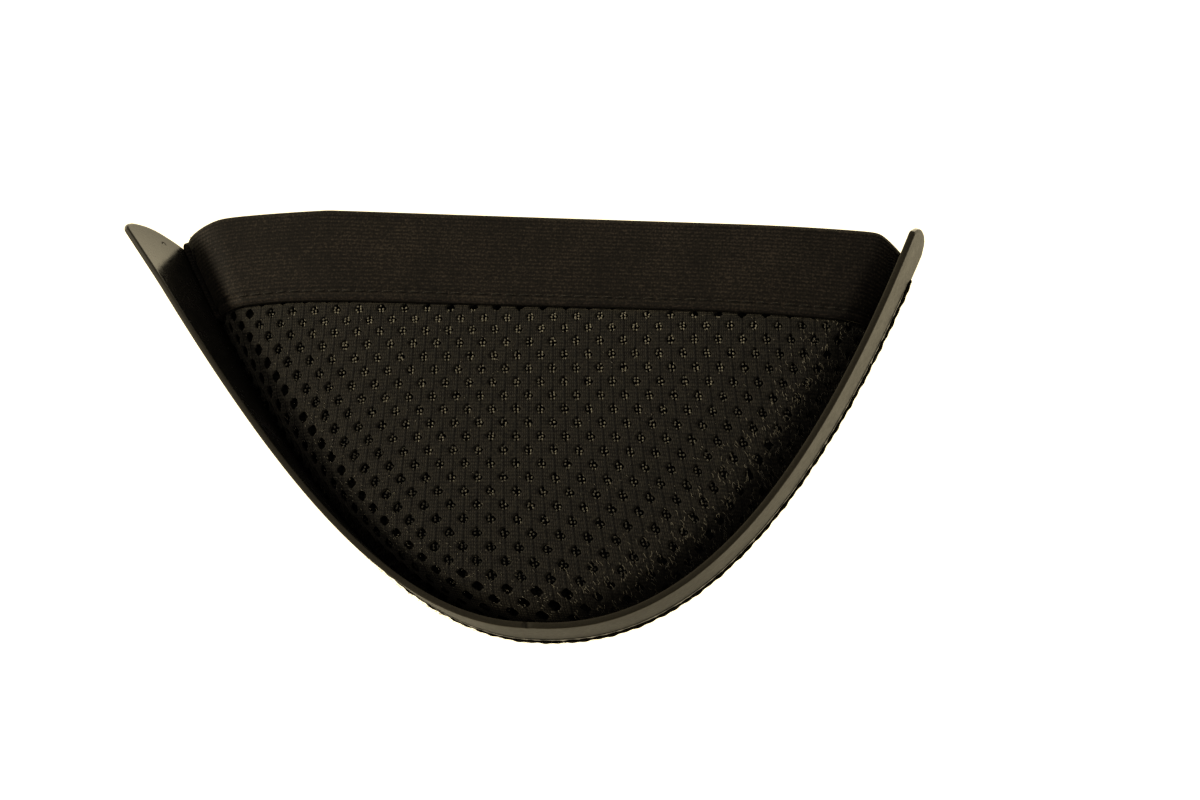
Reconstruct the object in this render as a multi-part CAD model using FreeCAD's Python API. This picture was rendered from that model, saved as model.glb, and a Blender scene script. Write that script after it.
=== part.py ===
import FreeCAD, Part
import math
import os

# Padded mesh curtain on a bent plastic strip. Millimetres, +Z up, lying on its back edge.
# The strip runs as a U from the left tip (-X) round the apex (-Y) to the right tip (+X).
# Its position is given by u: -1 at the left tip, 0 at the apex, near 1 at the right tip.

# carrier strip
HALF_SPAN = 96.5
DEPTH = 103.0
APEX_SHIFT = 4.0
FULLNESS_LEFT = 2.0
FULLNESS_RIGHT = 2.25
U_LEFT = -1.015
U_RIGHT = 0.992
STRIP_WIDTH = 20.5
STRIP_THICKNESS = 1.6
LEAN_AXIS_Z = -0.5
LEAN_RADIUS = 1.5
LEFT_SPLAY = 22.5
RIGHT_SPLAY = -2.0
RIGHT_SWELL = 3.5
LEFT_TIP = ((0.0, 1.7), (2.0, 0.0), (6.2, 0.4), (10.0, 1.5), (14.5, 4.1), (20.5, 7.5))
RIGHT_TIP = ((0.0, 3.9), (2.0, 2.7), (9.0, 0.3), (14.5, 0.1), (18.0, 1.6), (20.5, 4.6))
NOTCH_WIDTH = 1.4
NOTCH_DEPTH = 0.7

# turned hem of the mesh, and the tape that bonds it to the strip
HEM_HEIGHT = 4.5
HEM_THICKNESS = 0.4
HEM_GAP = 0.25
HEM_LIP = 1.2
TAPE_THICKNESS = 0.08
HEM_U = (-0.94, 0.93)

# padded panel
WALL_GAP = 0.5
EDGE_Z = 4.6
ROLL_HEIGHT = 8.4
ROLL_WIDTH = 14.0
LEFT_SWEEP = 20.0
LEFT_SWEEP_START = 34.0
CROWN_HEIGHT = 4.0
CROWN_WIDTH = 42.0
FOLD_DROP = 4.5
DROP_WIDTH = 30.0
PANEL_THICKNESS = 6.5
LIP_THICKNESS = 2.8
MESH_THICKNESS = 1.8
BACKING_THICKNESS = 0.8
CORE_INSET = 4.0
CORE_FOLD_INSET = 8.0
LAYER_GAP = 0.2
PANEL_X = (-92.0, 91.0)
CORE_X = (-84.0, 83.0)

# elastic band folded over the open edge
BAND_THICKNESS = 1.1
BAND_LOWER_LEG = 20.0
FOLD_Y = 2.4
FOLD_SLANT = -0.04
FOLD_END_DROP = 5.0
SEAM_Y = -22.2
SEAM_SLANT = -0.028
SEAM_END_DROP = 1.5
HALF_BAND = 92.0

# thread
STITCH_INSET = 2.4
STITCH_PITCH = 3.5
STITCH_LENGTH = 2.5
THREAD_RADIUS = 0.25
STITCH_X = (-76.0, 76.0)
TACK_SIZE = (1.4, 5.0, 0.5)

STRIP_STATIONS = 33
PANEL_STATIONS = 25
CURVE_POINTS = 11
LEG_POINTS = 9


def vec(x, y, z):
    return FreeCAD.Vector(x, y, z)


def fullness(u):
    return FULLNESS_LEFT if u < 0 else FULLNESS_RIGHT


def base(u):
    """The strip's inner back edge, in plan."""
    return (
        HALF_SPAN * u + APEX_SHIFT * (1 - u * u),
        -DEPTH * (1 - abs(u) ** fullness(u)),
    )


def outward(u):
    """Unit normal of the base curve, pointing out of the U."""
    n = fullness(u)
    dx = HALF_SPAN - 2 * APEX_SHIFT * u
    dy = DEPTH * n * abs(u) ** (n - 1) * (1 if u > 0 else -1)
    length = math.hypot(dx, dy)
    return dy / length, -dx / length


def lean(u):
    """Outward lean of the strip, in radians: the left wing splays towards its tip."""
    if u < 0:
        return math.radians(LEFT_SPLAY * u**4)
    return math.radians(RIGHT_SPLAY * u * u + RIGHT_SWELL * math.sin(math.pi * min(u, 1)))


def on_strip(u, height, offset=0.0):
    """A point at a height above the back edge, and an offset outwards from the inner face."""
    x, y = base(u)
    nx, ny = outward(u)
    a = lean(u)
    reach = height + LEAN_RADIUS
    side = reach * math.sin(a) + offset * math.cos(a)
    z = LEAN_AXIS_Z + reach * math.cos(a) - offset * math.sin(a)
    return vec(x + nx * side, y + ny * side, z)


def u_at(x):
    """The u of the base curve at a given x."""
    if not APEX_SHIFT:
        return x / HALF_SPAN
    root = math.sqrt(HALF_SPAN**2 - 4 * APEX_SHIFT * (x - APEX_SHIFT))
    return (HALF_SPAN - root) / (2 * APEX_SHIFT)


WALL = [base(-1.02 + 2.04 * i / 400) for i in range(401)]


def wall_distance(x, y):
    return min(math.hypot(x - wx, y - wy) for wx, wy in WALL)


def wall_y(x):
    return base(u_at(x))[1]


def fold_y(x):
    return FOLD_Y + FOLD_SLANT * x - FOLD_END_DROP * (x / HALF_BAND) ** 6


def seam_y(x):
    return SEAM_Y + SEAM_SLANT * x - SEAM_END_DROP * (x / HALF_BAND) ** 4


def near_fold(x, y):
    """1 at the fold, falling smoothly to 0 inside the panel."""
    inside = fold_y(x) - y
    return max(0.0, 1 - inside / DROP_WIDTH) ** 1.5


def edge_roll(x, y):
    """0 at the strip, rising in a quarter circle to 1 inside the panel."""
    near_band = min(max((y + LEFT_SWEEP_START) / LEFT_SWEEP_START, 0), 1)
    width = ROLL_WIDTH + LEFT_SWEEP * near_band * min(max(-x / 60, 0), 1)
    d = min(wall_distance(x, y) / width, 1)
    return math.sqrt(1 - (1 - d) ** 2)


def panel_top(x, y):
    """Height of the mesh face: a rolled edge along the strip, a low crown, a drop at the fold."""
    roll = edge_roll(x, y)
    crown = math.sin(math.pi / 2 * min(wall_distance(x, y) / CROWN_WIDTH, 1))
    return EDGE_Z + ROLL_HEIGHT * roll + CROWN_HEIGHT * crown - FOLD_DROP * near_fold(x, y) * roll


def panel_under(x, y):
    """Height of the underside: the panel thins to a lip at the strip and at the fold."""
    fill = edge_roll(x, y) * (1 - near_fold(x, y))
    return panel_top(x, y) - LIP_THICKNESS - (PANEL_THICKNESS - LIP_THICKNESS) * fill


def spread(low, high, count):
    """Values from low to high, closer together at both ends."""
    return [low + (high - low) * (1 - math.cos(math.pi * i / (count - 1))) / 2 for i in range(count)]


def spline(points):
    curve = Part.BSplineCurve()
    curve.interpolate(points)
    return curve.toShape()


def ring(upper, lower):
    """A closed wire: a curve there, an end, a curve back, an end."""
    return Part.Wire(
        [
            spline(upper),
            Part.makeLine(upper[-1], lower[-1]),
            spline(lower[::-1]),
            Part.makeLine(lower[0], upper[0]),
        ]
    )


def polygon(points):
    return Part.makePolygon(points + points[:1])


def strip_stations(low, high, count=STRIP_STATIONS):
    return [low + (high - low) * i / (count - 1) for i in range(count)]


def tip_cutter(u, inwards, outline):
    """What is cut away beyond a tip's outline, given as (distance below the top, inset) pairs."""
    origin = on_strip(u, 0)
    up = (on_strip(u, 1) - origin).normalize()
    out = (on_strip(u, 0, 1) - origin).normalize()
    along = up.cross(out) * inwards

    def at(s, w):
        return origin + along * s + up * (STRIP_WIDTH - w) - out * 4

    end = spline([at(inset, w) for w, inset in outline])
    first, last = outline[0], outline[-1]
    above, below = first[0] - 3, last[0] + 3
    edges = [
        Part.makeLine(at(-12, above), at(first[1], above)),
        Part.makeLine(at(first[1], above), at(first[1], first[0])),
        end,
        Part.makeLine(at(last[1], last[0]), at(last[1], below)),
        Part.makeLine(at(last[1], below), at(-12, below)),
        Part.makeLine(at(-12, below), at(-12, above)),
    ]
    return Part.Face(Part.Wire(edges)).extrude(out * 8)


def carrier_strip():
    wires = []
    for u in strip_stations(U_LEFT, U_RIGHT):
        corners = [
            on_strip(u, 0),
            on_strip(u, STRIP_WIDTH),
            on_strip(u, STRIP_WIDTH, STRIP_THICKNESS),
            on_strip(u, 0, STRIP_THICKNESS),
        ]
        wires.append(polygon(corners))
    strip = Part.makeLoft(wires, True)
    strip = strip.cut(tip_cutter(U_LEFT, 1, LEFT_TIP))
    strip = strip.cut(tip_cutter(U_RIGHT, -1, RIGHT_TIP))
    centre = on_strip(0, STRIP_WIDTH)
    half = NOTCH_WIDTH / 2
    notch = [
        centre + vec(-half, 1, 0.01),
        centre + vec(half, 1, 0.01),
        centre + vec(0, 1, -NOTCH_DEPTH),
    ]
    return strip.cut(Part.Face(polygon(notch)).extrude(vec(0, -4, 0)))


def mesh_hem():
    """The mesh's edge, turned under the strip's back edge and up its outer face."""
    inner = STRIP_THICKNESS + HEM_GAP
    outer = inner + HEM_THICKNESS
    wires = []
    for u in strip_stations(*HEM_U):
        x, y = base(u)
        nx, ny = outward(u)
        below = on_strip(u, 0, STRIP_THICKNESS)
        side = math.hypot(below.x - x, below.y - y) + HEM_GAP
        under_z = min(below.z, on_strip(u, 0).z) - LAYER_GAP
        wires.append(
            polygon(
                [
                    vec(x - nx * HEM_LIP, y - ny * HEM_LIP, -1),
                    vec(x + nx * (side + HEM_THICKNESS), y + ny * (side + HEM_THICKNESS), -1),
                    on_strip(u, HEM_HEIGHT, outer),
                    on_strip(u, HEM_HEIGHT, inner),
                    vec(x + nx * side, y + ny * side, under_z),
                    vec(x - nx * HEM_LIP, y - ny * HEM_LIP, under_z),
                ]
            )
        )
    hem = Part.makeLoft(wires, True)
    ground = Part.makeBox(300, 300, 10, vec(-150, -200, -10))
    return hem.cut(ground)


def hem_tape():
    near = STRIP_THICKNESS + (HEM_GAP - TAPE_THICKNESS) / 2
    low, high = 0.8, HEM_HEIGHT - 0.8
    far = near + TAPE_THICKNESS
    wires = []
    for u in strip_stations(*HEM_U):
        wires.append(
            polygon(
                [
                    on_strip(u, low, near),
                    on_strip(u, high, near),
                    on_strip(u, high, far),
                    on_strip(u, low, far),
                ]
            )
        )
    return Part.makeLoft(wires, True)


def panel_layer(x_range, upper, lower, wall_inset, end_inset):
    """A layer of the panel between two height functions, from the wall to near the fold."""
    wires = []
    for x in spread(*x_range, PANEL_STATIONS):
        slope = max(abs(outward(u_at(x))[1]), 0.3)
        start = wall_y(x) + wall_inset / slope
        end = fold_y(x) - end_inset
        ys = spread(start, end, CURVE_POINTS)
        wires.append(
            ring([vec(x, y, upper(x, y)) for y in ys], [vec(x, y, lower(x, y)) for y in ys])
        )
    return Part.makeLoft(wires, True)


def mesh_face():
    return panel_layer(
        PANEL_X,
        panel_top,
        lambda x, y: panel_top(x, y) - MESH_THICKNESS,
        WALL_GAP,
        BAND_THICKNESS + 0.6,
    )


def backing_cloth():
    return panel_layer(
        PANEL_X,
        lambda x, y: panel_under(x, y) + BACKING_THICKNESS,
        panel_under,
        WALL_GAP,
        BAND_THICKNESS + 0.6,
    )


def foam_core():
    return panel_layer(
        CORE_X,
        lambda x, y: panel_top(x, y) - MESH_THICKNESS - LAYER_GAP,
        lambda x, y: panel_under(x, y) + BACKING_THICKNESS + LAYER_GAP,
        CORE_INSET,
        CORE_FOLD_INSET,
    )


def band_path(x, out):
    """The band's section at x, offset outwards from the panel: upper leg, fold, lower leg."""
    fold = fold_y(x)
    wall = wall_y(x) + WALL_GAP / max(abs(outward(u_at(x))[1]), 0.3)
    seam = max(seam_y(x), wall)
    lower_end = max(fold - BAND_LOWER_LEG, wall)
    turn = fold - BAND_THICKNESS - 0.5
    top_z = panel_top(x, turn)
    under_z = panel_under(x, turn)
    middle_z = (top_z + under_z) / 2
    points = []
    for y in spread(seam, turn, LEG_POINTS):
        points.append(vec(x, y, panel_top(x, y) + out))
    points.append(vec(x, turn + (0.5 + out) * 0.75, middle_z + (top_z - middle_z + out) * 0.66))
    points.append(vec(x, turn + 0.5 + out, middle_z))
    points.append(vec(x, turn + (0.5 + out) * 0.75, middle_z + (under_z - middle_z - out) * 0.66))
    for y in spread(turn, lower_end, LEG_POINTS):
        points.append(vec(x, y, panel_under(x, y) - out))
    return points


def elastic_band():
    wires = []
    for x in spread(*PANEL_X, PANEL_STATIONS):
        wires.append(ring(band_path(x, LAYER_GAP + BAND_THICKNESS), band_path(x, LAYER_GAP)))
    return Part.makeLoft(wires, True)


def band_stitching():
    """A row of thread stitches just inside the band's seam edge."""
    count = int((STITCH_X[1] - STITCH_X[0]) / STITCH_PITCH) + 1
    stitches = []
    for i in range(count):
        x = STITCH_X[0] + STITCH_PITCH * i
        ends = []
        for end_x in (x, x + STITCH_LENGTH):
            y = seam_y(end_x) + STITCH_INSET
            lift = LAYER_GAP * 2 + BAND_THICKNESS + THREAD_RADIUS
            ends.append(vec(end_x, y, panel_top(end_x, y) + lift))
        axis = ends[1] - ends[0]
        stitches.append(Part.makeCylinder(THREAD_RADIUS, axis.Length, ends[0], axis))
    return Part.makeCompound(stitches)


def end_tacks():
    """A bar tack of thread at each end of the band, on its upper face."""
    width, length, height = TACK_SIZE
    tacks = []
    for x in (PANEL_X[0] + 5.0, PANEL_X[1] - 5.0):
        y = fold_y(x) - 5.0 - length
        z = max(panel_top(x + sx * width / 2, y + sy * length) for sx in (-1, 1) for sy in (0, 1))
        corner = vec(x - width / 2, y, z + BAND_THICKNESS + 2 * LAYER_GAP)
        tacks.append(Part.makeBox(width, length, height, corner))
    return Part.makeCompound(tacks)


PIECES = {
    "carrier_strip": carrier_strip,
    "mesh_hem": mesh_hem,
    "hem_tape": hem_tape,
    "mesh_face": mesh_face,
    "foam_core": foam_core,
    "backing_cloth": backing_cloth,
    "elastic_band": elastic_band,
    "band_stitching": band_stitching,
    "end_tacks": end_tacks,
}


def main():
    os.makedirs("parts", exist_ok=True)
    shapes = {node: make() for node, make in PIECES.items()}
    whole = FreeCAD.BoundBox()
    for shape in shapes.values():
        whole.add(shape.optimalBoundingBox(False))
    origin = vec(whole.Center.x, whole.Center.y, whole.ZMin)
    print("origin moved to", origin)
    for node, shape in shapes.items():
        shape.translate(origin * -1)
        shape.exportStep("parts/" + node + ".step")
        print(node, len(shape.Solids), "solids, valid", shape.isValid(), "%.0f mm3" % shape.Volume)


main()
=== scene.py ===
import math

import bmesh
import bpy
import numpy as np
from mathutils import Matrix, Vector


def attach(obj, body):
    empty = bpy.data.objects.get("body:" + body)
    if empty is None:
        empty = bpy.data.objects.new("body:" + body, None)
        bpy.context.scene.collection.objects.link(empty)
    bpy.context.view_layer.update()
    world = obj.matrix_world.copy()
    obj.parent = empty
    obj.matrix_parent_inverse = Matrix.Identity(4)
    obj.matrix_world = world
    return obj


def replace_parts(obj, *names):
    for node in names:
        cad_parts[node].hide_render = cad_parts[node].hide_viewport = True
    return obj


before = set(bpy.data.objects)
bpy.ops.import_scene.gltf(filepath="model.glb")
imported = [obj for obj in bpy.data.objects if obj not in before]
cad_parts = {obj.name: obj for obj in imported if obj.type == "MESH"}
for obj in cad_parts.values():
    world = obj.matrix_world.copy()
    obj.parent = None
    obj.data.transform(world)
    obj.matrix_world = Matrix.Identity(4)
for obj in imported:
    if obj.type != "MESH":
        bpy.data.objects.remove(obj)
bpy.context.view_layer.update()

RNG = np.random.default_rng(7)
MM = 0.001

# ---- the object's dimensions, in millimetres, about the middle of the line between the tips ----
# x runs along the open edge, y into the bend (negative), z up; u goes from -1 to 1 along the bend.
ORIGIN = (4.8412, 50.3267)

# The strip: its U, its lean, and each tip's outline as (distance below the upper edge, inset) pairs.
HALF_SPAN = 96.5
DEPTH = 103.0
APEX_SHIFT = 4.0
FULLNESS_LEFT = 2.0
FULLNESS_RIGHT = 2.25
U_LEFT = -1.015
U_RIGHT = 0.992
STRIP_WIDTH = 20.5
STRIP_THICKNESS = 1.6
LEAN_AXIS_Z = -0.5
LEAN_RADIUS = 1.5
EDGE_RADIUS = 0.4
LEFT_TIP = ((0.0, 1.5), (0.8, 0.1), (2.0, -0.5), (6.2, -0.6), (10.0, 0.4), (14.5, 2.8), (20.5, 6.6))
RIGHT_TIP = ((0.0, 3.9), (2.0, 2.7), (9.0, 0.3), (14.5, 0.0), (18.0, 0.7), (20.5, 2.8))
NOTCH_DEPTH = 0.95
NOTCH_HALF_WIDTH = 0.9
# The scratch is drawn by the material, so its place and sizes are in metres.
SCRATCH_AT = (-0.0943, 0.0468, 0.0096)
SCRATCH_RADIUS = 0.00075
SCRATCH_HALF_WIDTH = 0.00019

# The hem on the strip's outer face.
HEM_HEIGHT = 3.2
HEM_THICKNESS = 0.28
HEM_U = (-0.94, 0.95)
HEM_LOW_Z = 0.05
SCALLOP_PITCH = 3.4
SCALLOP_DEPTH = 0.85
HEM_FIBRES = 900

# The padded panel: the gap and roll beside the strip, the crown, and the drop to the open edge.
WALL_GAP = 0.6
GAP_SWELL = 1.9
EDGE_Z = 2.4
ROLL_HEIGHT = 10.6
ROLL_WIDTH = 9.5
LEFT_SWEEP = 4.0
LEFT_SWEEP_START = 34.0
SHOULDER_X = -36.0
SHOULDER_WIDTH = 32.0
BULGE = 2.8
BULGE_FADE = 22.0
CROWN_HEIGHT = 4.0
CROWN_WIDTH = 42.0
FOLD_DROP = 4.5
DROP_WIDTH = 30.0
PANEL_THICKNESS = 6.5
LIP_THICKNESS = 2.8
LOWEST_PANEL_Z = 1.7
LOWEST_CLOTH_Z = 0.6
UNDER_BAND_DIP = 1.3
PANEL_X = (-96.3, 91.8)

# The knit: its lattice of holes, and the filaments on it.
HOLE_PITCH = 5.86
HOLE_PITCH_GROWTH = 0.0036
ROW_PITCH = 3.43
CENTRE_WALE = -17.5
HOLE_SIZE = (1.08, 1.3)
CELL_SIDE = 4
CELL_ACROSS = 6
CLOTH_LEG = 3.2
MESH_FIBRES = 1150
MESH_FIBRE_TRIES = 26000

# The elastic band and its stitching.
BAND_THICKNESS = 1.15
RIB_PITCH = 1.05
RIB_HEIGHT = 0.13
BAND_TOP_LEG = 25.0
BAND_LOWER_LEG = 20.0
BAND_TURN = 4.0
STITCH_PITCH = 3.5
STITCH_INSET = 2.4
STITCH_LENGTH = 2.5
STITCH_RADIUS = 0.2
STITCHED_X = (-79.0, 82.0)
TACK_X = (-92.5, 88.8)
TACK_THREADS = 13
TACK_STEP = 0.38
TACK_LENGTH = 1.4
TACK_RADIUS = 0.19


# ---- shape functions, over numpy arrays ----
def base(u):
    """Plan position of the strip's inner face where it meets its lean axis."""
    u = np.asarray(u, float)
    n = np.where(u < 0, FULLNESS_LEFT, FULLNESS_RIGHT)
    x = HALF_SPAN * u + APEX_SHIFT * (1 - u * u)
    y = -DEPTH * (1 - np.abs(u) ** n)
    return np.stack([x, y], -1)


def outward(u):
    """The plan direction out of the bend."""
    u = np.asarray(u, float)
    n = np.where(u < 0, FULLNESS_LEFT, FULLNESS_RIGHT)
    dx = HALF_SPAN - 2 * APEX_SHIFT * u
    dy = DEPTH * n * np.abs(u) ** (n - 1) * np.sign(u)
    length = np.hypot(dx, dy)
    return np.stack([dy / length, -dx / length], -1)


def lean(u):
    """How far the strip leans outwards, in radians: most at the left tip, which also curls a little."""
    u = np.asarray(u, float)
    left = 22.5 * np.abs(u) ** 4 + 2.5 * np.clip((-u - 0.92) / 0.095, 0, 1) ** 1.5
    right = -2.0 * u * u + 3.5 * np.sin(np.pi * np.clip(u, 0, 1))
    return np.radians(np.where(u < 0, left, right))


def on_strip(u, height, offset):
    """Points at a height up the strip and an offset outwards from its inner face."""
    b, n, a = base(u), outward(u), lean(u)
    reach = height + LEAN_RADIUS
    side = reach * np.sin(a) + offset * np.cos(a)
    z = LEAN_AXIS_Z + reach * np.cos(a) - offset * np.sin(a)
    return np.concatenate([b + n * side[..., None], z[..., None]], -1)


def u_at(x):
    """The strip's u at a plan x."""
    root = np.sqrt(HALF_SPAN**2 - 4 * APEX_SHIFT * (np.asarray(x) - APEX_SHIFT))
    return (HALF_SPAN - root) / (2 * APEX_SHIFT)


WALL_U = np.linspace(-1.06, 1.06, 900)
WALL_XY = base(WALL_U)
WALL_N = outward(WALL_U)
WALL_S = np.concatenate([[0], np.cumsum(np.hypot(*np.diff(WALL_XY, axis=0).T))])
WALL_S -= np.interp(0.0, WALL_U, WALL_S)


def u_of_s(s):
    """The strip's u at an arc length from the apex."""
    return np.interp(s, WALL_S, WALL_U)


def nearest_wall(xy):
    """For plan points: distance inside the wall (negative outside) and the wall's index there."""
    xy = np.asarray(xy, float).reshape(-1, 2)
    d = np.empty(len(xy))
    k = np.empty(len(xy), int)
    for i in range(0, len(xy), 4000):
        delta = xy[i:i + 4000, None, :] - WALL_XY[None, :, :]
        square = (delta**2).sum(-1)
        j = square.argmin(1)
        rows = np.arange(len(j))
        sign = np.where((delta[rows, j] * WALL_N[j]).sum(-1) > 0, -1.0, 1.0)
        d[i:i + 4000] = sign * np.sqrt(square[rows, j])
        k[i:i + 4000] = j
    return d, k


def fold_y(x):
    """The panel's open edge, where the band is folded: nearly straight, drawn in at both corners."""
    x = np.asarray(x, float)
    left = 0.075 * np.clip(-55.0 - x, 0, None) + 0.18 * (-85.0 - x + np.sqrt((85.0 + x) ** 2 + 9.0))
    right = 0.42 * (x - 86.2 + np.sqrt((x - 86.2) ** 2 + 2.0))
    return 2.0 - 0.042 * x - left - right


def seam_y(x):
    """The band's stitched edge on top of the mesh."""
    x = np.asarray(x, float)
    return -22.6 - 0.028 * x - 1.5 * (x / 92.0) ** 4 - 1.2 * np.clip((-60 - x) / 20, 0, 1) ** 1.5


def near_fold(x, y):
    """1 on the panel's open edge, falling to 0 over the drop's width."""
    return np.clip(1 - (fold_y(x) - y) / DROP_WIDTH, 0, 1) ** 1.5


def wall_gap(u):
    """How far the cloth stands off the strip: more where it curves under, left of the bend."""
    return WALL_GAP + GAP_SWELL * np.exp(-((np.asarray(u) + 0.35) / 0.33) ** 2)


def roll_distance(d, u):
    """Distance along the roll for a plan distance from the wall, so the roll starts at the gap's edge."""
    gap = wall_gap(u)
    return np.where(d < ROLL_WIDTH, np.clip((d - gap) * ROLL_WIDTH / (ROLL_WIDTH - gap), 0, None), d)


def shoulder(x):
    """1 where the panel stands fuller and steeper, left of the bend; 0 elsewhere."""
    return np.exp(-(((np.asarray(x) - SHOULDER_X) / SHOULDER_WIDTH) ** 2))


def roll(x, y, d):
    """0 at the strip, rising in a quarter circle to 1, over a width that changes along the strip."""
    sweep = LEFT_SWEEP * np.clip((y + LEFT_SWEEP_START) / LEFT_SWEEP_START, 0, 1)
    width = ROLL_WIDTH + sweep * np.clip(-x / 60, 0, 1)
    t = np.clip(d / (width * (1 - 0.5 * shoulder(x))), 0, 1)
    return np.sqrt(1 - (1 - t) ** 2)


def top_at(x, y, d):
    """Height of the panel's face, given the distance to the wall."""
    crown = np.sin(np.pi / 2 * np.clip(d / CROWN_WIDTH, 0, 1))
    r = roll(x, y, d)
    bulge = BULGE * shoulder(x) * np.exp(-np.clip(d, 0, None) / BULGE_FADE)
    return EDGE_Z + (ROLL_HEIGHT + bulge) * r + CROWN_HEIGHT * crown - FOLD_DROP * near_fold(x, y) * r


def placed(x, y):
    """x and y in one shape, and the distance along the roll there."""
    x, y = np.broadcast_arrays(np.asarray(x, float), np.asarray(y, float))
    d, k = nearest_wall(np.stack([x, y], -1))
    return x, y, roll_distance(d, WALL_U[k]).reshape(x.shape)


def panel_top(x, y):
    return top_at(*placed(x, y))


def panel_under(x, y):
    x, y, d = placed(x, y)
    fill = roll(x, y, d) * (1 - near_fold(x, y))
    under = top_at(x, y, d) - LIP_THICKNESS - (PANEL_THICKNESS - LIP_THICKNESS) * fill
    return np.maximum(under, LOWEST_PANEL_Z)


# ---- mesh helpers ----
def make_piece(name, points, faces, material, uv=None):
    """A mesh object from points in millimetres about the tip line, riding on the part's body."""
    points = np.asarray(points, float).reshape(-1, 3) + (ORIGIN[0], ORIGIN[1], 0.0)
    mesh = bpy.data.meshes.new(name)
    mesh.from_pydata((points * MM).tolist(), [], [tuple(int(i) for i in f) for f in faces])
    if uv is not None:
        layer = mesh.uv_layers.new(name="UVMap")
        index = np.empty(len(mesh.loops), int)
        mesh.loops.foreach_get("vertex_index", index)
        layer.data.foreach_set("uv", np.asarray(uv, float).reshape(-1, 2)[index].ravel())
    mesh.polygons.foreach_set("use_smooth", [True] * len(mesh.polygons))
    mesh.materials.append(material)
    mesh.validate()
    mesh.update()
    piece = bpy.data.objects.new(name, mesh)
    bpy.context.scene.collection.objects.link(piece)
    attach(piece, "root")
    return piece


def add_materials(piece, materials, index):
    """More materials on a piece, and which one each face takes."""
    for material in materials:
        piece.data.materials.append(material)
    if len(piece.data.polygons) == len(index):
        piece.data.polygons.foreach_set("material_index", np.array(index, np.int32))


def grid_faces(rows, columns, start=0):
    faces = []
    for i in range(rows - 1):
        for j in range(columns - 1):
            a = start + i * columns + j
            b = a + columns
            faces.append((a, a + 1, b + 1, b))
    return faces


def merge_doubles(piece, distance):
    work = bmesh.new()
    work.from_mesh(piece.data)
    bmesh.ops.remove_doubles(work, verts=work.verts, dist=distance)
    loose = [v for v in work.verts if not v.link_faces]
    bmesh.ops.delete(work, geom=loose, context="VERTS")
    work.to_mesh(piece.data)
    work.free()
    piece.data.polygons.foreach_set("use_smooth", [True] * len(piece.data.polygons))


def tube(path, radius, sides=6):
    """Points and faces of a round thread along a path, with closed ends."""
    path = np.asarray(path, float)
    tangent = np.gradient(path, axis=0)
    tangent /= np.linalg.norm(tangent, axis=1)[:, None]
    side = np.cross(tangent, (0.0, 0.0, 1.0))
    side /= np.maximum(np.linalg.norm(side, axis=1), 1e-6)[:, None]
    up = np.cross(side, tangent)
    radius = np.broadcast_to(radius, len(path))
    points = []
    for j in range(sides):
        a = 2 * math.pi * j / sides
        points.append(path + (side * math.cos(a) + up * math.sin(a)) * radius[:, None])
    points = np.stack(points, 1).reshape(-1, 3)
    faces = []
    for i in range(len(path) - 1):
        for j in range(sides):
            k = (j + 1) % sides
            faces.append((i * sides + j, i * sides + k, (i + 1) * sides + k, (i + 1) * sides + j))
    faces.append(tuple(range(sides))[::-1])
    faces.append(tuple(range((len(path) - 1) * sides, len(path) * sides)))
    return points, faces


def thread_piece(name, tubes, material):
    """One piece from many tubes."""
    points, faces, start = [], [], 0
    for p, f in tubes:
        points.append(p)
        faces += [tuple(i + start for i in face) for face in f]
        start += len(p)
    return make_piece(name, np.concatenate(points), faces, material)


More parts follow.
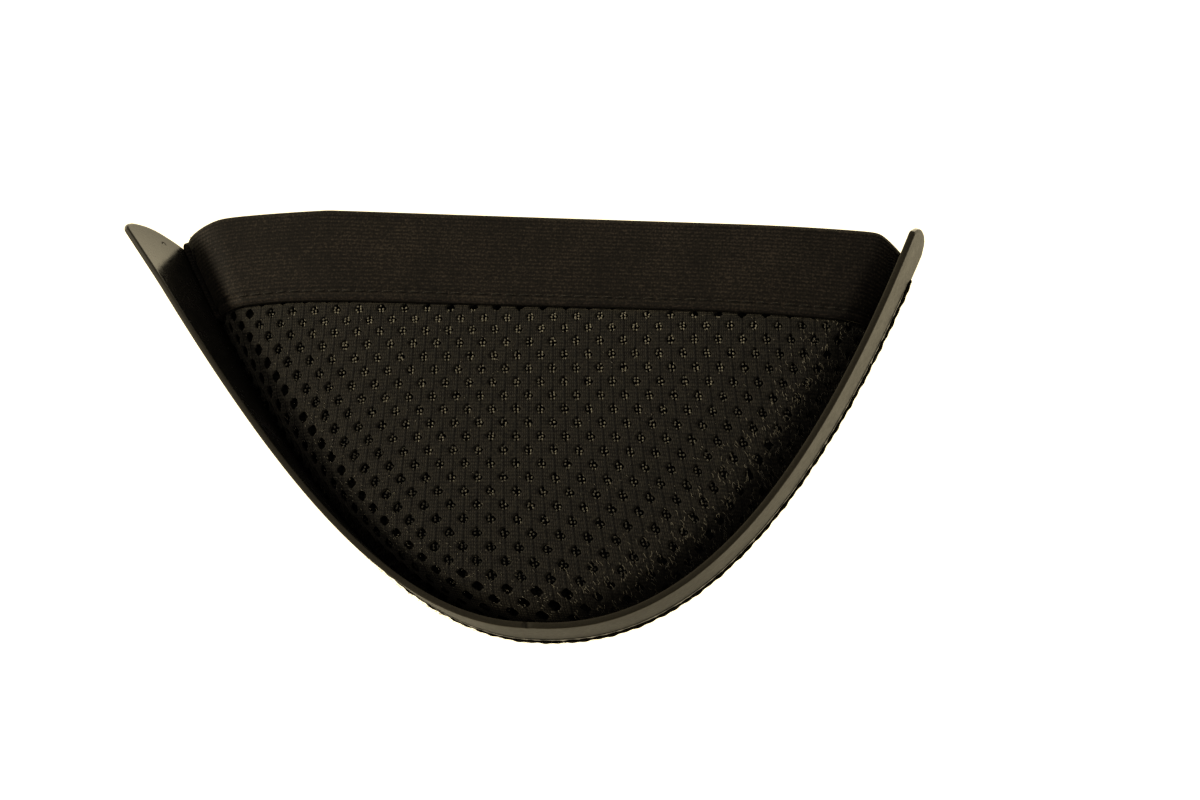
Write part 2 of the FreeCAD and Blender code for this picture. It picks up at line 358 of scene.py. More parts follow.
# ---- materials ----
class Surface:
    """A principled material, and the few node operations used on it."""

    def __init__(self, name, base_color, roughness, specular, sheen=0.0, sheen_tint=(1, 1, 1)):
        self.material = bpy.data.materials.new(name)
        self.material.use_nodes = True
        self.nodes = self.material.node_tree.nodes
        self.links = self.material.node_tree.links
        self.inputs = self.nodes["Principled BSDF"].inputs
        self.set("Base Color", (*base_color, 1))
        self.set("Roughness", roughness)
        self.set("Specular IOR Level", specular)
        self.set("IOR", 1.5)
        self.set("Sheen Weight", sheen)
        self.set("Sheen Roughness", 0.45)
        self.set("Sheen Tint", (*sheen_tint, 1))

    def fill(self, socket, value):
        """Gives a socket a constant, or links another node's output to it."""
        if hasattr(value, "links"):
            self.links.new(value, socket)
        else:
            socket.default_value = value

    def set(self, name, value):
        self.fill(self.inputs[name], value)

    def place(self):
        return self.nodes.new("ShaderNodeTexCoord").outputs["Object"]

    def split(self, vector):
        node = self.nodes.new("ShaderNodeSeparateXYZ")
        self.links.new(vector, node.inputs[0])
        return node.outputs

    def cloth_place(self):
        """Across and down the cloth, from its own map."""
        return self.split(self.nodes.new("ShaderNodeUVMap").outputs["UV"])[:2]

    def math(self, operation, *values):
        node = self.nodes.new("ShaderNodeMath")
        node.operation = operation
        for socket, value in zip(node.inputs, values):
            self.fill(socket, value)
        return node.outputs[0]

    def distance(self, vector, point):
        node = self.nodes.new("ShaderNodeVectorMath")
        node.operation = "DISTANCE"
        self.fill(node.inputs[0], vector)
        self.fill(node.inputs[1], point)
        return node.outputs["Value"]

    def noise(self, vector, scale, detail):
        node = self.nodes.new("ShaderNodeTexNoise")
        for name, value in (("Vector", vector), ("Scale", scale), ("Detail", detail), ("Roughness", 0.6)):
            self.fill(node.inputs[name], value)
        return node.outputs["Fac"]

    def ramp(self, fac, stops):
        node = self.nodes.new("ShaderNodeValToRGB")
        while len(node.color_ramp.elements) < len(stops):
            node.color_ramp.elements.new(0.5)
        for element, (position, color) in zip(node.color_ramp.elements, stops):
            element.position = position
            element.color = (*color, 1)
        self.links.new(fac, node.inputs["Fac"])
        return node.outputs["Color"]

    def bump(self, height, strength, distance):
        node = self.nodes.new("ShaderNodeBump")
        for name, value in (("Height", height), ("Strength", strength), ("Distance", distance)):
            self.fill(node.inputs[name], value)
        self.set("Normal", node.outputs["Normal"])


def plastic_material(name, roughness, specular, coarse_grain_and_painted_shade=False, scratch=False):
    """Satin black extruded plastic with a fine leathery grain and faint handling marks; optionally a coarser
    grain and painted shade that weakens the reflection towards the bottom of the U.
    """
    surface = Surface(name, (0.008, 0.0077, 0.007), roughness, specular)
    place = surface.place()
    grain = surface.noise(place, 900, 4)
    cloud = surface.noise(place, 90, 3)
    if coarse_grain_and_painted_shade:
        # Painted shade: the reflection weakens towards the bottom of the U (lower y), standing in for the
        # floor shaded beside the object.
        along = surface.math("MULTIPLY_ADD", surface.split(place)[1], 1.6, 0.1)
        surface.set("Specular IOR Level", surface.math("MAXIMUM", along, 0.03))
        surface.set("Specular Tint", (1.0, 0.95, 0.84, 1))
    if scratch:
        away = surface.distance(place, SCRATCH_AT)
        ring = surface.math("COMPARE", away, SCRATCH_RADIUS, SCRATCH_HALF_WIDTH)
        upper = surface.math("GREATER_THAN", surface.split(place)[1], SCRATCH_AT[1] - 0.0003)
        mark = surface.math("MULTIPLY", ring, upper)
        surface.set("Specular IOR Level", surface.math("MULTIPLY_ADD", mark, -0.9 * specular, specular))
    rough = surface.math("MULTIPLY_ADD", grain, 0.22, roughness - 0.15)
    surface.set("Roughness", surface.math("MULTIPLY_ADD", cloud, 0.14, rough))
    color = surface.ramp(cloud, [(0.35, (0.005, 0.0047, 0.0042)), (0.7, (0.009, 0.0083, 0.0073))])
    surface.set("Base Color", color)
    surface.bump(surface.math("ADD", grain, cloud), 0.7 if coarse_grain_and_painted_shade else 0.3, 0.00006)
    return surface.material


def knit_material(name, dark, light, specular=0.12, sheen=0.12):
    """Fine matt knit: stitch grain in the cloth's own coordinates, with a bump groove down each wale painted
    darker as shade.
    """
    surface = Surface(name, light, 0.78, specular, sheen, (1.0, 0.9, 0.7))
    across, down = surface.cloth_place()

    def wave(value, period, sharpness=1.0):
        angle = surface.math("MULTIPLY", value, 2 * math.pi / period)
        half = surface.math("MULTIPLY_ADD", surface.math("COSINE", angle), 0.5, 0.5)
        return surface.math("POWER", half, sharpness)

    place = surface.place()
    grain = surface.noise(place, 2000, 4)
    fuzz = surface.noise(place, 700, 3)
    loops = surface.math("MULTIPLY", wave(across, 1 / 6), wave(down, 1 / 4))
    wale = wave(across, 1.0, 40.0)
    value = surface.math("MULTIPLY_ADD", grain, 1.1, surface.math("MULTIPLY", loops, 0.25))
    # Painted shade: a dark line in the groove the bump cuts down each wale.
    value = surface.math("SUBTRACT", value, surface.math("MULTIPLY", wale, 0.24))
    value = surface.math("ADD", value, surface.math("MULTIPLY", fuzz, 0.3))
    surface.set("Base Color", surface.ramp(value, [(0.66, dark), (0.89, light)]))
    surface.bump(surface.math("SUBTRACT", surface.math("ADD", grain, loops), wale), 0.8, 0.00018)
    return surface.material


def elastic_material():
    """Woven elastic: the ribs are real; fine cross threads, sparkling yarn and painted shade in the rib
    grooves come from nodes.
    """
    surface = Surface("ribbed_elastic", (0.012, 0.011, 0.009), 0.7, 0.08, 0.03, (1.0, 0.88, 0.66))
    across, down = surface.cloth_place()
    place = surface.place()
    grain = surface.noise(place, 1900, 4)
    patch = surface.noise(place, 60, 3)
    cross = surface.math("COSINE", surface.math("MULTIPLY", across, 2 * math.pi / 0.62))
    groove_shade = surface.math("COSINE", surface.math("MULTIPLY", down, 2 * math.pi / RIB_PITCH))
    value = surface.math("MULTIPLY_ADD", grain, 1.1, surface.math("MULTIPLY", cross, 0.02))
    value = surface.math("ADD", value, surface.math("MULTIPLY", patch, 0.3))
    # Painted shade: darker in the grooves between the real ribs, lighter on their crests.
    value = surface.math("SUBTRACT", value, surface.math("MULTIPLY", groove_shade, 0.065))
    surface.set("Base Color", surface.ramp(value, [
        (0.5, (0.0034, 0.0028, 0.0023)),
        (0.72, (0.0086, 0.0068, 0.0053)),
        (0.94, (0.0335, 0.026, 0.0192)),
    ]))
    surface.bump(surface.math("ADD", grain, surface.math("MULTIPLY", cross, 0.1)), 0.5, 0.0001)
    return surface.material


def thread_material(name, color, roughness, specular):
    """A twisted or matt one-colour material: thread, filament, film, or the strip's cut edge."""
    surface = Surface(name, color, roughness, specular, 0.1, (1.0, 0.9, 0.7))
    twist = surface.noise(surface.place(), 3000, 2)
    dark = tuple(0.5 * c for c in color)
    surface.set("Base Color", surface.ramp(twist, [(0.3, dark), (0.75, color)]))
    surface.bump(twist, 0.4, 0.00005)
    return surface.material


# ---- the strip ----
def smooth_curve(at, pairs):
    """A smooth curve through (place, value) pairs."""
    x, y = np.array(pairs, float).T
    slope = np.gradient(y, x)
    k = np.clip(np.searchsorted(x, at, side="right") - 1, 0, len(x) - 2)
    h = x[k + 1] - x[k]
    t = np.clip((at - x[k]) / h, 0, 1)
    return (
        y[k] * (2 * t**3 - 3 * t**2 + 1) + slope[k] * h * (t**3 - 2 * t**2 + t)
        + y[k + 1] * (3 * t**2 - 2 * t**3) + slope[k + 1] * h * (t**3 - t**2)
    )


def strip_section():
    """(offset, height) pairs round the strip's section, starting at the inner face's foot."""
    r, t, w = EDGE_RADIUS, STRIP_THICKNESS, STRIP_WIDTH
    down = (18.5, 16.5, 15.0, 13.5, 12.0, 10.5, 9.0, 7.5, 6.0, 4.6, 3.4, 2.4, 1.7, 1.1, 0.65)
    inner = [(0.0, r)] + [(0.0, w - d) for d in down] + [(0.0, w - r)]
    top = [(r * (1 - math.cos(a)), w - r * (1 - math.sin(a))) for a in (0.5, 1.05, math.pi / 2)]
    bottom = [(r * (1 - math.cos(a)), r * (1 - math.sin(a))) for a in (math.pi / 2, 1.05, 0.5)]
    half = bottom + inner + top
    return half + [(t - o, h) for o, h in half[::-1]]


def strip_stations(s_left, s_right):
    """Shares of the strip's length where it has a section: closer together at the tips and the notch."""
    length = s_right - s_left
    across_notch = NOTCH_HALF_WIDTH * np.array([-1, -1 / 2, -1 / 6, 1 / 6, 1 / 2, 1])
    notch = (0 - s_left) / length + across_notch / length
    return np.unique(np.concatenate([np.linspace(0, 1, 260), [0.0012, 0.0025, 0.9975, 0.9988], notch]))


def carrier_strip(inner_face, outer_face, cut_edge):
    section = np.array(strip_section())
    s_left, s_right = np.interp([U_LEFT, U_RIGHT], WALL_U, WALL_S)
    in_notch = section[:, 1] > STRIP_WIDTH - 2 * NOTCH_DEPTH
    inset_left = smooth_curve(STRIP_WIDTH - section[:, 1], LEFT_TIP)
    inset_right = smooth_curve(STRIP_WIDTH - section[:, 1], RIGHT_TIP)
    points = []
    for t in strip_stations(s_left, s_right):
        s = (s_left + inset_left) * (1 - t) + (s_right - inset_right) * t
        near = min(t, 1 - t) * (s_right - s_left)
        shrink = EDGE_RADIUS * (1 - math.sqrt(max(0.0, 1 - (1 - min(near / 0.75, 1)) ** 2)))
        thinner = 1 - 2 * shrink / STRIP_THICKNESS
        offset = STRIP_THICKNESS / 2 + (section[:, 0] - STRIP_THICKNESS / 2) * thinner
        notch = NOTCH_DEPTH * np.clip(1 - np.abs(s) / NOTCH_HALF_WIDTH, 0, 1) * in_notch
        points.append(on_strip(u_of_s(s), section[:, 1] - notch, offset))
    rows, columns = len(points), len(section)
    points = np.concatenate(points)
    faces = []
    for i in range(rows - 1):
        for j in range(columns):
            k = (j + 1) % columns
            faces.append((i * columns + j, (i + 1) * columns + j, (i + 1) * columns + k, i * columns + k))
    for i, flip in ((0, False), (rows - 1, True)):
        for j in range(columns // 2 - 1):
            a = i * columns
            quad = (a + j, a + j + 1, a + columns - 2 - j, a + columns - 1 - j)
            faces.append(quad[::-1] if flip else quad)
    top_from, top_to, foot_from = columns // 2 - 3, columns // 2 + 3, columns - 3
    around = [2 if top_from <= j < top_to else 1 if top_to <= j < foot_from else 0 for j in range(columns)]
    index = around * (rows - 1)
    index += [0] * (len(faces) - len(index))
    piece = make_piece("strip", points, faces, inner_face)
    add_materials(piece, (outer_face, cut_edge), index)
    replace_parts(piece, "carrier_strip")


# ---- the mesh face ----
def lattice_to_plan(c, r):
    """Plan position of a point of the knit: c half pitches from the centre wale, r rows from the band.

    The knit is stretched: its pitch grows down the panel, and its rows bow down towards both sides.
    """
    below = np.clip(r, 0, None) ** 2
    dx = c / 2 * (HOLE_PITCH + HOLE_PITCH_GROWTH * below)
    bow_left = 0.0000095 * below * 1.25 * np.clip(-dx, 0, None) ** 2
    bow_right = 0.000004 * below * np.clip(dx, 0, None) ** 2
    y = -23.2 - ROW_PITCH * r + 1.05 * np.clip(r / 2, 0, 1) + 0.02 * dx - bow_left - bow_right
    return np.stack([CENTRE_WALE + dx, y], -1)


def roll_table():
    """Arc lengths down the roll, from its start, and the distances from the wall there."""
    d = np.linspace(ROLL_WIDTH, 0, 400)
    z = EDGE_Z + ROLL_HEIGHT * np.sqrt(np.clip(1 - (1 - d / ROLL_WIDTH) ** 2, 0, 1))
    arc = np.concatenate([[0], np.cumsum(np.hypot(np.diff(d), np.diff(z)))])
    return arc, d


ROLL_ARC, ROLL_D = roll_table()


def drape(xy, depth=0.0):
    """Lays plan points on the panel, and says how far each hangs past the end of the roll.

    From the start of the roll they follow its arc down, and past its end they hang in to the strip's wall.
    """
    d, k = nearest_wall(xy)
    past = np.clip(ROLL_WIDTH - d, 0, None)
    inside = np.interp(past, ROLL_ARC, ROLL_D)
    over = np.clip(past - ROLL_ARC[-1], 0, None)
    new_d = np.where(past > 0, inside, d)
    gap = wall_gap(WALL_U[k])
    foot = (gap + 0.5) * np.clip(over / 2.2, 0, 1)
    shown = gap - foot + new_d * (ROLL_WIDTH - gap) / ROLL_WIDTH
    plan = np.where((past > 0)[:, None], WALL_XY[k] - WALL_N[k] * shown[:, None], xy)
    under_band = np.clip((plan[:, 1] - seam_y(plan[:, 0]) + UNDER_BAND_DIP) / UNDER_BAND_DIP, 0, 1) ** 2
    z = top_at(plan[:, 0], plan[:, 1], new_d) - over - UNDER_BAND_DIP * under_band
    z = np.maximum(z, LOWEST_CLOTH_Z)
    slope = np.clip(1 - new_d / ROLL_WIDTH, 0, 1)
    inward = slope * depth
    down = np.sqrt(np.clip(1 - slope**2, 0, 1)) * depth
    plan = plan - WALL_N[k] * inward[:, None]
    return np.concatenate([plan, (z - down)[:, None]], -1), over


def hole_cells(rows, columns):
    """Lattice cells (c, r) whose centre hole lies on the panel; holes alternate from row to row."""
    cells = np.array([(c, r) for r in range(*rows) for c in range(*columns) if (c + r) % 2 == 1])
    plan = lattice_to_plan(cells[:, 0], cells[:, 1])
    d, _ = nearest_wall(plan)
    keep = d > -(ROLL_ARC[-1] - ROLL_WIDTH) - 7
    keep &= plan[:, 1] < fold_y(np.clip(plan[:, 0], -92, 91)) - 2.5
    keep &= np.abs(plan[:, 0]) < 98
    return cells[keep]


def cell_border():
    """The border of a cell in (c, r), anticlockwise, shared exactly with its neighbours."""
    across, side = CELL_ACROSS, CELL_SIDE
    border = [(-1 + 2 * i / across, 0.5) for i in range(across)]
    border += [(1, 0.5 - i / side) for i in range(side)]
    border += [(1 - 2 * i / across, -0.5) for i in range(across)]
    border += [(-1, -0.5 + i / side) for i in range(side)]
    return np.array(border)


def mesh_face(material, shade, cells):
    """The knit: each cell is a border and rings round an oval hole, whose rim turns down into the cloth.

    Holes close to the wall, up to the bend, are a little longer; their deep rim and a floor closing them take
    a near-black cloth as painted shade.
    """
    border = cell_border()
    count = len(border)
    half = HOLE_PITCH / 2
    angle = np.arctan2(-border[:, 1] * ROW_PITCH, border[:, 0] * HOLE_PITCH / 2)
    oval = np.stack([np.cos(angle) * HOLE_SIZE[0] / half, -np.sin(angle) * HOLE_SIZE[1] / ROW_PITCH], -1)
    squeeze = 1 + 0.1 * np.cos(4 * angle)[:, None]
    wobble = RNG.normal(0, 0.05, (len(cells), count)) + 1
    d, k = nearest_wall(lattice_to_plan(cells[:, 0], cells[:, 1]))
    near_edge = (d < 9) & (WALL_U[k] < 0.12)
    stretch = np.exp(-(np.clip(d, 0, None) / 14) ** 2) * (WALL_U[k] < 0.1)
    rings = ((None, 0.0), (1.32, 0.0), (1.1, 0.04), (1.0, 0.22), (0.93, 0.8))
    lattice, depth = [], []
    for scale, down in rings:
        if scale is None:
            points = cells[:, None, :] + border[None]
        else:
            longer = 1 + stretch[:, None, None] * (0.06, 0.2)
            ring = oval[None] * squeeze * scale * wobble[:, :, None] * longer
            points = cells[:, None, :] + np.clip(ring, (-0.92, -0.455), (0.92, 0.455))
        lattice.append(points)
        depth.append(np.full(points.shape[:2], down))
    lattice = np.stack(lattice, 1).reshape(-1, 2)
    depth = np.stack(depth, 1).ravel()
    plan = lattice_to_plan(lattice[:, 0], lattice[:, 1])
    points, over = drape(plan, depth)
    faces, shaded = [], []
    stride = count * len(rings)
    for n in range(len(cells)):
        for ring in range(len(rings) - 1):
            a = n * stride + ring * count
            for i in range(count):
                j = (i + 1) % count
                face = (a + j, a + i, a + count + i, a + count + j)
                if over[list(face)].min() < CLOTH_LEG:
                    faces.append(face)
                    # Near the wall the hole's deep rim takes the near-black cloth: painted shade.
                    shaded.append(near_edge[n] and ring == len(rings) - 2)
        last = n * stride + (len(rings) - 1) * count
        # A near-black floor closes these holes: painted shade standing in for their deep dark.
        if near_edge[n] and over[last] < CLOTH_LEG:
            faces.append(tuple(range(last + count - 1, last - 1, -1)))
            shaded.append(True)
    piece = make_piece("mesh_knit", points, faces, material, uv=lattice)
    add_materials(piece, (shade,), shaded)
    merge_doubles(piece, 0.00002)
    return piece


def small_sphere(rings=4, around=6):
    """Points and faces of a coarse unit sphere."""
    sphere = []
    for i in range(rings):
        for j in range(around):
            a, b = math.pi * (i + 0.5) / rings - math.pi / 2, 2 * math.pi * j / around
            sphere.append((math.cos(a) * math.cos(b), math.cos(a) * math.sin(b), math.sin(a)))
    faces = []
    for i in range(rings - 1):
        for j in range(around):
            a, b = i * around + j, i * around + (j + 1) % around
            faces.append((a, b, b + around, a + around))
    faces.append(tuple(range(around))[::-1])
    faces.append(tuple(range((rings - 1) * around, rings * around)))
    return np.array(sphere), faces


def knot_layer(material, cells):
    """The inner yarns seen through each hole: small bright knots in two columns."""
    sphere, sphere_faces = small_sphere()
    spots = np.array([
        (-0.23, -0.42), (0.23, -0.55), (-0.26, 0.04), (0.25, -0.03), (-0.2, 0.52), (0.26, 0.44),
    ])
    centres = np.repeat(cells, len(spots), 0).astype(float)
    tile = np.tile(spots, (len(cells), 1)) * (0.62, 0.5) + RNG.normal(0, 0.03, (len(centres), 2))
    lattice = centres + tile
    plan = lattice_to_plan(lattice[:, 0], lattice[:, 1])
    d, _ = nearest_wall(plan)
    edge = np.clip((26.0 - d) / 14.0, 0, 1)
    place, over = drape(plan, 0.42 + 0.75 * edge + 0.03 * lattice[:, 1])
    keep = (over < 0.5) & (d > 8) & (plan[:, 1] < seam_y(plan[:, 0]) - 1.2)
    place = place[keep]
    spin = RNG.uniform(-0.7, 0.7, len(place)) + np.where(np.arange(len(place)) % 2, 0.5, -0.5)
    thick = np.full(len(place), 0.25)
    size = np.stack([thick, RNG.uniform(0.28, 0.38, len(place)), thick], -1)
    local = sphere[None] * size[:, None, :]
    turned = local.copy()
    turned[..., 0] = local[..., 0] * np.cos(spin)[:, None] - local[..., 1] * np.sin(spin)[:, None]
    turned[..., 1] = local[..., 0] * np.sin(spin)[:, None] + local[..., 1] * np.cos(spin)[:, None]
    points = (place[:, None, :] + turned).reshape(-1, 3)
    faces = [tuple(n * len(sphere) + i for i in f) for n in range(len(place)) for f in sphere_faces]
    make_piece("spacer_yarn", points, faces, material)


# ---- the padded core under the mesh ----
def pad_core(material):
    """The foam and backing as one closed, crowned pad, from which the mesh stands off slightly."""
    columns, rows = 90, 44
    top, under = [], []
    for x in np.linspace(PANEL_X[0] + 1.5, PANEL_X[1] - 1.5, columns):
        wall = base(u_at(x))[1]
        slope = max(abs(float(outward(u_at(x))[1])), 0.3)
        t = (1 - np.cos(np.pi * np.linspace(0, 1, rows))) / 2
        low = float(wall) + (float(wall_gap(u_at(x))) + 1.1) / slope
        high = float(fold_y(x)) - 1.6
        y = low + (high - low) * t
        xs = np.full(rows, x)
        low_z = panel_under(xs, y)
        top.append(np.stack([xs, y, np.maximum(panel_top(xs, y) - 1.95, low_z + 0.5)], -1))
        under.append(np.stack([xs, y, low_z], -1))
    top, under = np.array(top), np.array(under)
    points = np.concatenate([top.reshape(-1, 3), under.reshape(-1, 3)])
    shift = columns * rows
    faces = grid_faces(columns, rows)
    faces += [tuple(i + shift for i in f[::-1]) for f in grid_faces(columns, rows)]
    for i in range(columns - 1):
        for edge in (0, rows - 1):
            a, b = i * rows + edge, (i + 1) * rows + edge
            quad = (a, b, b + shift, a + shift)
            faces.append(quad if edge == 0 else quad[::-1])
    for j in range(rows - 1):
        for i in (0, columns - 1):
            a, b = i * rows + j, i * rows + j + 1
            quad = (a, a + shift, b + shift, b)
            faces.append(quad if i == 0 else quad[::-1])
    uv = points[:, :2] / (HOLE_PITCH / 2, ROW_PITCH)
    piece = make_piece("padded_core", points, faces, material, uv=uv)
    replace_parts(piece, "foam_core", "backing_cloth")


# ---- the elastic band ----
def wall_x(y, side):
    """The wall's x at a given y, on the left (-1) or right (1) side."""
    n = FULLNESS_LEFT if side < 0 else FULLNESS_RIGHT
    u = side * np.clip(1 + np.asarray(y, float) / DEPTH, 0, 1.1) ** (1 / n)
    return HALF_SPAN * u + APEX_SHIFT * (1 - u * u)


def across_panel(y, c):
    """The x at a share c of the way from the left wall to the right wall."""
    left, right = wall_x(y, -1) - 1.0, wall_x(y, 1) - 0.7
    return left + (right - left) * c


def band_section(c, rows):
    """The band's outer face at a share c of its length: the seam edge, the fold, the lower edge."""
    fold_x = PANEL_X[0] + (PANEL_X[1] - PANEL_X[0]) * c
    seam_x = float(across_panel(-24.0, c))
    fold, seam = float(fold_y(fold_x)), float(seam_y(seam_x))
    turn = fold - BAND_THICKNESS - 0.4
    v = np.linspace(0, 1, 44)
    y_top = seam + (turn - seam) * v
    x_top = across_panel(y_top, c)
    x_top += (fold_x - x_top[-1]) * v**3
    z_top = panel_top(x_top, y_top) + BAND_THICKNESS
    v_low = np.linspace(1, 1 - BAND_LOWER_LEG / BAND_TOP_LEG, 30)
    y_low = seam + (turn - seam) * v_low
    x_low = np.interp(y_low, y_top, x_top)
    z_low = np.maximum(panel_under(x_low, y_low) - BAND_THICKNESS, 0.2)
    centre, half = (z_top[-1] + z_low[0]) / 2, (z_top[-1] - z_low[0]) / 2
    a = np.linspace(math.pi / 2, -math.pi / 2, 14)[1:-1]
    x = np.concatenate([x_top, np.full(12, fold_x), x_low])
    y = np.concatenate([y_top, turn + (fold - turn) * np.cos(a), y_low])
    z = np.concatenate([z_top, centre + half * np.sin(a), z_low])
    arc = np.concatenate([[0], np.cumsum(np.hypot(np.diff(y), np.diff(z)))])
    s = np.linspace(0, 1, rows) * arc[-1]
    path = np.stack([np.interp(s, arc, x), np.interp(s, arc, y), np.interp(s, arc, z)], -1)
    return path, s / arc[-1] * (BAND_LOWER_LEG + BAND_TURN + BAND_TOP_LEG)


def elastic_band(material):
    """The folded band, with real ribs and a dent at each stitch."""
    columns, rows = 170, 300
    outer, inner, uv = [], [], []
    for c in (1 - np.cos(np.pi * np.linspace(0, 1, columns))) / 2:
        points, s = band_section(c, rows)
        x = points[:, 0]
        tangent = np.gradient(points, axis=0)
        normal = np.stack([np.zeros(rows), -tangent[:, 2], tangent[:, 1]], -1)
        normal /= np.linalg.norm(normal, axis=1)[:, None]
        rib = RIB_HEIGHT * (np.abs(np.sin(math.pi * s / RIB_PITCH)) ** 0.7 - 1)
        stitch_row = np.exp(-((s - STITCH_INSET) / 0.7) ** 2)
        along = 0.5 + 0.5 * np.cos(2 * math.pi * x / STITCH_PITCH)
        dent = -0.5 * stitch_row * (0.3 + 0.7 * along)
        pull = -0.4 * np.exp(-(s / 0.5) ** 2)
        points = points + normal * (rib + dent + pull)[:, None]
        outer.append(points)
        inner.append(points - normal * (BAND_THICKNESS * 0.8))
        uv.append(np.stack([x, s], -1))
    outer, inner, uv = np.array(outer), np.array(inner), np.array(uv)
    coarse = inner[:, ::4]
    points = np.concatenate([outer.reshape(-1, 3), coarse.reshape(-1, 3)])
    coords = np.concatenate([uv.reshape(-1, 2), uv[:, ::4].reshape(-1, 2)])
    shift, few = columns * rows, coarse.shape[1]
    faces = [f[::-1] for f in grid_faces(columns, rows)]
    faces += grid_faces(columns, few, start=shift)
    for i in range(columns - 1):
        a, b = i * rows, (i + 1) * rows
        p, q = shift + i * few, shift + (i + 1) * few
        faces.append((a, b, q, p))
        faces.append((b + rows - 1, a + rows - 1, p + few - 1, q + few - 1))
    for i in (0, columns - 1):
        for j in range(few - 1):
            a = i * rows + 4 * j
            p = shift + i * few + j
            ring = tuple(range(a, a + 5)) + (p + 1, p)
            faces.append(ring if i == 0 else ring[::-1])
    piece = make_piece("elastic", points, faces, material, uv=coords)
    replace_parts(piece, "elastic_band")


def stitches(material):
    tubes = []
    share = np.linspace(-1, 1, 7)
    first, last = (int(x / STITCH_PITCH) for x in STITCHED_X)
    for n in range(first, last + 1):
        x = (n + 0.5) * STITCH_PITCH + np.linspace(-STITCH_LENGTH / 2, STITCH_LENGTH / 2, 7)
        y = seam_y(x) + STITCH_INSET
        z = panel_top(x, y) + BAND_THICKNESS - 0.22 - 0.35 * np.abs(share) ** 3
        tubes.append(tube(np.stack([x, y, z], -1), STITCH_RADIUS))
    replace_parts(thread_piece("stitches", tubes, material), "band_stitching")


def bar_tacks(material):
    tubes = []
    share = np.linspace(-1, 1, 5)
    for middle in TACK_X:
        for i in range(TACK_THREADS):
            x = middle + np.linspace(-TACK_LENGTH / 2, TACK_LENGTH / 2, 5)
            y = np.full(5, float(fold_y(middle)) - 4.5 - i * TACK_STEP) + 0.1 * (-1) ** i
            z = panel_top(x, y) + BAND_THICKNESS - 0.02 - 0.12 * np.abs(share) ** 3
            tubes.append(tube(np.stack([x, y, z], -1), TACK_RADIUS))
    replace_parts(thread_piece("bar_tacks", tubes, material), "end_tacks")


# ---- the turned hem on the strip's outer face ----
def hem(material):
    """The cloth's cut edge: in under the strip, round its foot, and up the outer face to a scalloped edge."""
    s0, s1 = np.interp(HEM_U, WALL_U, WALL_S)
    s = np.linspace(s0, s1, 900)
    u = u_of_s(s)
    scallop = np.abs(np.sin(math.pi * s / SCALLOP_PITCH + 0.6 * np.sin(s / 9.0))) ** 0.6
    ragged = np.interp(s, np.linspace(s0, s1, 260), RNG.normal(0, 0.16, 260))
    height = HEM_HEIGHT - 0.9 + SCALLOP_DEPTH * scallop + ragged
    fade = np.clip(np.minimum(s - s0, s1 - s) / 2.0, 0, 1) ** 0.5
    height = height * (0.35 + 0.65 * fade)
    bulge = 0.1 * np.sin(s * 1.9) + 0.08 * np.sin(s * 0.83)
    plan = base(u) - outward(u) * 1.0
    rows = [np.concatenate([plan, np.full((len(s), 1), z)], -1) for z in (1.35, HEM_LOW_Z)]
    profile = ((0.0, 0.95), (0.3, 1.05), (0.62, 1.0), (0.86, 0.85), (0.97, 0.55), (1.0, 0.2), (0.96, 0.0))
    for t, off in profile:
        offset = STRIP_THICKNESS + 0.05 + HEM_THICKNESS * off + (bulge * off if off > 0.3 else 0)
        points = on_strip(u, height * t, np.broadcast_to(offset, s.shape))
        if t == 0.0:
            points[:, 2] = HEM_LOW_Z
        rows.append(points)
    points = np.stack(rows, 1)
    shape = points.shape[:2]
    along = np.broadcast_to((s / 2.8)[:, None], shape)
    up = np.broadcast_to(np.arange(len(rows)) / 3.0, shape)
    faces = grid_faces(len(s), len(rows))
    # The hem's cloth is far darker than the knit it is cut from: painted shade at the strip's foot.
    piece = make_piece("hem", points, faces, material, uv=np.stack([along, up], -1))
    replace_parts(piece, "mesh_hem")
    return s, height


def hem_fibres(material, s, height):
    """Short loose ends along the hem's raw edge."""
    tubes = []
    t = np.linspace(0, 1, 4)
    for _ in range(HEM_FIBRES):
        i = RNG.integers(4, len(s) - 4)
        foot = height[i] - abs(RNG.normal(0, 0.5))
        length = RNG.uniform(0.25, 0.9)
        lift = RNG.uniform(0.0, 0.45)
        slide = RNG.normal(0, 0.4)
        offset = STRIP_THICKNESS + 0.55 + lift * t
        path = on_strip(u_of_s(s[i] + slide * t * t), np.maximum(foot + length * t, 0.5), offset)
        tubes.append(tube(path, 0.05 * (1 - 0.6 * t), 3))
    thread_piece("hem_fibres", tubes, material)


def mesh_fibres(material):
    """Shiny filaments along the wales, denser where the mesh bends over the strip; their pale colour is
    painted glint.
    """
    tubes = []
    t = np.linspace(0, 1, 6)
    tries = 0
    while len(tubes) < MESH_FIBRES and tries < MESH_FIBRE_TRIES:
        tries += 1
        c, r = RNG.integers(-30, 45) + RNG.normal(0, 0.3), RNG.uniform(0, 25)
        d, k = nearest_wall(lattice_to_plan(np.array([c]), np.array([r])))
        d, u = d[0], WALL_U[k[0]]
        if not -3.5 < d < 60:
            continue
        share = 0.06 if u < -0.7 else 0.5 if u < 0 else np.clip(0.5 + u, 0, 1)
        bend = math.exp(-((d - 5) / 9) ** 2) * share * (d > (1.5 if u < 0.1 else -2))
        if RNG.uniform() > bend + 0.035:
            continue
        length = RNG.uniform(0.35, 1.15) if u > 0.05 and bend > 0.2 else RNG.uniform(0.12, 0.4)
        wiggle = 0.09 * length * np.sin(t * 5 + RNG.uniform(0, 6.28))
        across = c + (wiggle + RNG.normal(0.2, 0.2) * t) / 2.8
        path, over = drape(lattice_to_plan(across, r + length * t / ROW_PITCH), np.zeros(6))
        if over.max() > 0.5:
            continue
        path[:, 2] += 0.04 + 0.14 * np.sin(np.pi * t)
        tubes.append(tube(path, 0.036, 3))
    thread_piece("mesh_fibres", tubes, material)


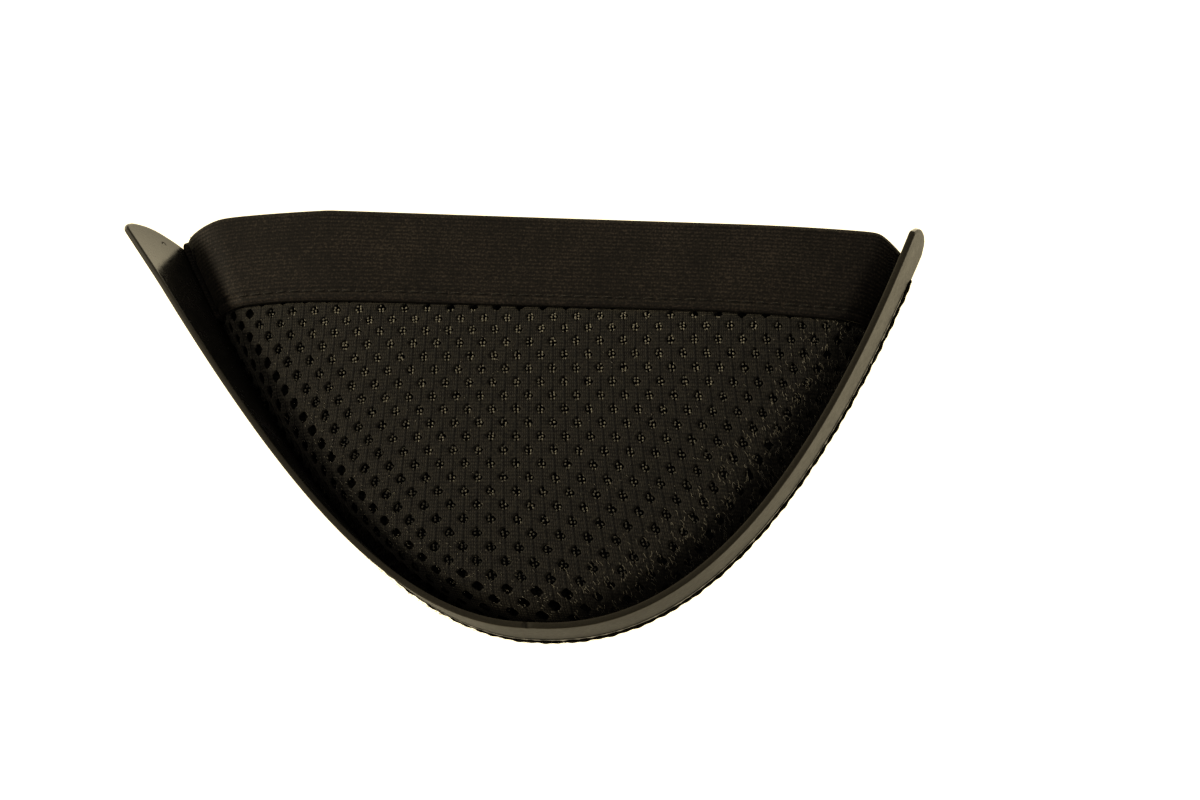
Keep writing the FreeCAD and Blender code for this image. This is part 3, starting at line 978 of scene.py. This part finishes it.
# ---- stage ----
def stage():
    bpy.ops.mesh.primitive_plane_add(size=6, location=(0, 0, 0))
    floor = bpy.context.object
    floor.name = "floor"
    surface = Surface("pale_floor", (0.3, 0.3, 0.3), 0.9, 0.1)
    surface.set("Emission Color", (1.0, 0.86, 0.56, 1))
    surface.set("Emission Strength", 1.75)
    floor.data.materials.append(surface.material)

    world = bpy.data.worlds.new("studio")
    bpy.context.scene.world = world
    world.use_nodes = True
    background = world.node_tree.nodes["Background"]
    background.inputs["Color"].default_value = (1.0, 0.98, 0.95, 1)
    background.inputs["Strength"].default_value = 0.2

    for name, place, size, power in (
        ("key_light", (-1.83, 0.26, 0.79), 0.38, 49.0),
        ("right_light", (0.9, -0.1, 0.6), 0.6, 3.0),
        ("back_light", (-0.05, 0.95, 0.75), 0.8, 3.0),
    ):
        light = bpy.data.lights.new(name, "AREA")
        light.energy = power
        light.size = size
        light.color = (1.0, 0.89, 0.66)
        lamp = bpy.data.objects.new(name, light)
        lamp.location = place
        aim = Vector((0, 0, 0.01)) - Vector(place)
        lamp.rotation_euler = aim.to_track_quat("-Z", "Y").to_euler()
        bpy.context.scene.collection.objects.link(lamp)


def camera():
    """A 75 mm lens looking down from the front right, placed by the object's own millimetres."""
    data = bpy.data.cameras.new("camera")
    data.lens = 75
    data.sensor_width = 36
    data.clip_start = 0.01
    eye = bpy.data.objects.new("camera", data)
    x, y, z = 117.55, -197.48, 604.58
    eye.location = ((x + ORIGIN[0]) * MM, (y + ORIGIN[1]) * MM, (z + LEAN_AXIS_Z) * MM)
    eye.rotation_euler = [math.radians(a) for a in (14.592, 8.915, 2.55)]
    bpy.context.scene.collection.objects.link(eye)
    bpy.context.scene.camera = eye
    bpy.context.scene.view_settings.view_transform = "Standard"


def main():
    camera()
    stage()
    smooth_plastic = plastic_material("smooth_black_plastic", 0.21, 0.4, scratch=True)
    cut_plastic = thread_material("cut_black_plastic", (0.0205, 0.0173, 0.011), 0.55, 0.1)
    # The outer face takes a coarser grain and painted shade that weakens its reflection towards the bottom of
    # the U.
    textured_plastic = plastic_material("textured_black_plastic", 0.5, 0.14, coarse_grain_and_painted_shade=True)
    knit = knit_material("mesh_knit_cloth", (0.0025, 0.0022, 0.0019), (0.0185, 0.0163, 0.012))
    # Near-black cloth, darker than the knit: painted shade on the hem at the strip's foot and in the capped
    # holes by the wall.
    painted_shade_cloth = knit_material("painted_shade_knit_cloth", (0.001, 0.001, 0.0009), (0.005, 0.0047, 0.004), 0.0, 0.0)
    backing = knit_material("backing_tricot", (0.003, 0.0029, 0.0025), (0.009, 0.0083, 0.007))
    elastic = elastic_material()
    thread = thread_material("black_thread", (0.008, 0.0068, 0.0056), 0.7, 0.12)
    yarn = thread_material("spacer_filament", (0.27, 0.245, 0.18), 0.4, 0.5)
    # Real loose filaments whose glints are painted into their pale colour.
    glinting_fibre = thread_material("loose_filament_painted_glint", (0.3, 0.27, 0.2), 0.35, 0.5)
    short_fibre = thread_material("edge_filament", (0.008, 0.0074, 0.006), 0.8, 0.0)
    tape = thread_material("tape_film", (0.05, 0.047, 0.042), 0.5, 0.3)

    carrier_strip(smooth_plastic, textured_plastic, cut_plastic)
    cells = hole_cells((-8, 30), (-50, 60))
    face = mesh_face(knit, painted_shade_cloth, cells)
    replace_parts(face, "mesh_face")
    knot_layer(yarn, cells[cells[:, 1] >= -1])
    pad_core(backing)
    elastic_band(elastic)
    stitches(thread)
    bar_tacks(thread)
    hem_fibres(short_fibre, *hem(painted_shade_cloth))
    mesh_fibres(glinting_fibre)
    hem_tape = bpy.data.objects.get("hem_tape")
    if hem_tape:
        hem_tape.data.materials.clear()
        hem_tape.data.materials.append(tape)


main()
